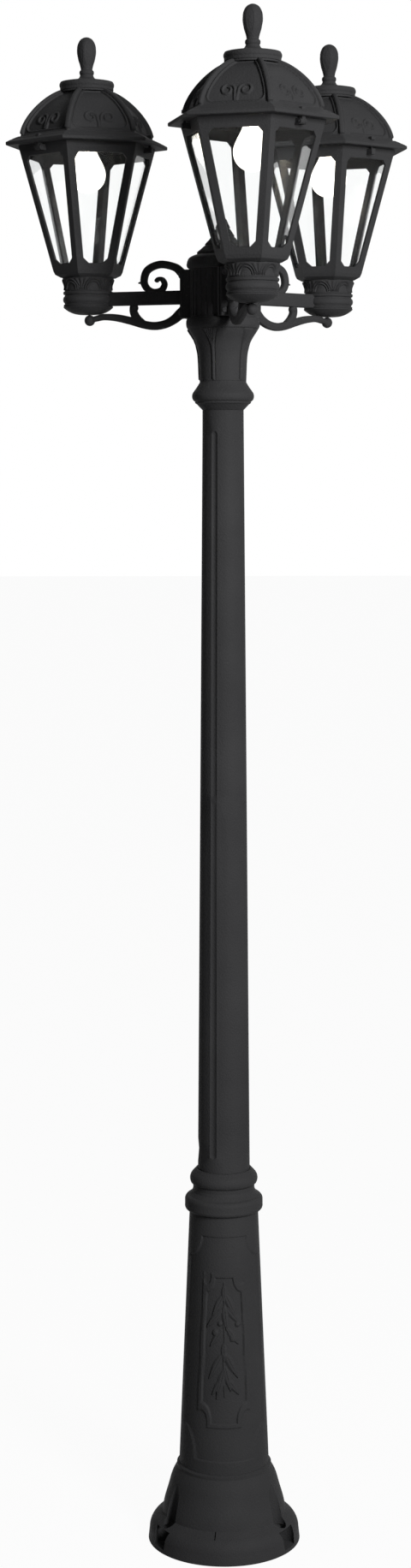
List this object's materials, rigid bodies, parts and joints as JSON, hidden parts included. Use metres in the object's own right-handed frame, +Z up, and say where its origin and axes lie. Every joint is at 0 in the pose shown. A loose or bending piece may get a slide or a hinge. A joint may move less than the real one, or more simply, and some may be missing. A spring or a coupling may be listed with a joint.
{
  "type": "lamp post",
  "caption": "Tall garden lamp post with a fluted shaft on a bolted bell base and three six-sided lanterns on scroll arms, each with a hinged roof.",
  "frame": {"origin": "centre of the base's underside, at the centre of the ground bolts' circle", "axes": "+Z up along the post; -Y towards the side that the framed panel of the pedestal faces"},
  "size_m": [0.6617, 0.6561, 2.5978],
  "materials": {
    "black_resin": "satin moulded resin with a fine cast grain",
    "black_steel": "black coated steel fastener",
    "zinc_steel": "galvanised steel",
    "clear_pane": "clear moulded panes",
    "clear_glass": "thin clear lamp glass",
    "cap_metal": "rolled thread cap",
    "filament": "glowing filament rods on a glass stem",
    "holder_black": "moulded lampholder",
    "terminal_white": "moulded terminal block"
  },
  "bodies": {
    "post": {"base_bell": "black_resin", "anchor_bolts": "black_steel", "anchor_washers": "black_steel", "core_tube": "zinc_steel", "core_foot": "zinc_steel", "core_nut": "zinc_steel", "pedestal": "black_resin", "pedestal_collar": "black_resin", "post_shaft": "black_resin", "neck_ring": "black_resin", "capital": "black_resin", "hub_body": "black_resin", "hub_cap": "black_resin", "terminal_block": "terminal_white", "arm_screws": "black_steel", "seat_nipples": "zinc_steel", "seat_nuts": "zinc_steel", "arm_front": "black_resin", "lantern_front_bowl": "black_resin", "arm_right": "black_resin", "lantern_right_bowl": "black_resin", "arm_left": "black_resin", "lantern_left_bowl": "black_resin"},
    "lantern_front": {"lantern_front_collar": "black_resin", "lantern_front_cage": "black_resin", "lantern_front_diffuser": "clear_pane", "lantern_front_hinge_pin": "black_steel"},
    "roof_front": {"lantern_front_roof": "black_resin", "lantern_front_catch_studs": "black_resin", "lantern_front_vent_cap": "black_resin", "lantern_front_finial": "black_resin", "lantern_front_lampholder": "holder_black", "lantern_front_bulb_glass": "clear_glass", "lantern_front_bulb_base": "cap_metal", "lantern_front_bulb_stem": "filament"},
    "lantern_right": {"lantern_right_collar": "black_resin", "lantern_right_cage": "black_resin", "lantern_right_diffuser": "clear_pane", "lantern_right_hinge_pin": "black_steel"},
    "roof_right": {"lantern_right_roof": "black_resin", "lantern_right_catch_studs": "black_resin", "lantern_right_vent_cap": "black_resin", "lantern_right_finial": "black_resin", "lantern_right_lampholder": "holder_black", "lantern_right_bulb_glass": "clear_glass", "lantern_right_bulb_base": "cap_metal", "lantern_right_bulb_stem": "filament"},
    "lantern_left": {"lantern_left_collar": "black_resin", "lantern_left_cage": "black_resin", "lantern_left_diffuser": "clear_pane", "lantern_left_hinge_pin": "black_steel"},
    "roof_left": {"lantern_left_roof": "black_resin", "lantern_left_catch_studs": "black_resin", "lantern_left_vent_cap": "black_resin", "lantern_left_finial": "black_resin", "lantern_left_lampholder": "holder_black", "lantern_left_bulb_glass": "clear_glass", "lantern_left_bulb_base": "cap_metal", "lantern_left_bulb_stem": "filament"}
  },
  "joints": [
    {"name": "lantern_front_turn", "type": "hinge", "parent": "post", "child": "lantern_front", "pos_m": [0.04513, -0.23216, 2.1481], "axis": [0, 0, 1], "range_deg": [-40, 40]},
    {"name": "roof_front_hinge", "type": "hinge", "parent": "lantern_front", "child": "roof_front", "pos_m": [0.1181, -0.31041, 2.3523], "axis": [0.7314, 0.682, 0], "range_deg": [0, 105]},
    {"name": "lantern_right_turn", "type": "hinge", "parent": "post", "child": "lantern_right", "pos_m": [0.17849, 0.15516, 2.1481], "axis": [0, 0, 1], "range_deg": [-40, 40]},
    {"name": "roof_right_hinge", "type": "hinge", "parent": "lantern_right", "child": "roof_right", "pos_m": [0.21683, 0.25505, 2.3523], "axis": [-0.9336, 0.3584, 0], "range_deg": [0, 105]},
    {"name": "lantern_left_turn", "type": "hinge", "parent": "post", "child": "lantern_left", "pos_m": [-0.22362, 0.077, 2.1481], "axis": [0, 0, 1], "range_deg": [-40, 40]},
    {"name": "roof_left_hinge", "type": "hinge", "parent": "lantern_left", "child": "roof_left", "pos_m": [-0.29794, 0.00003, 2.3523], "axis": [0.7193, -0.6947, 0], "range_deg": [0, 105]}
  ]
}
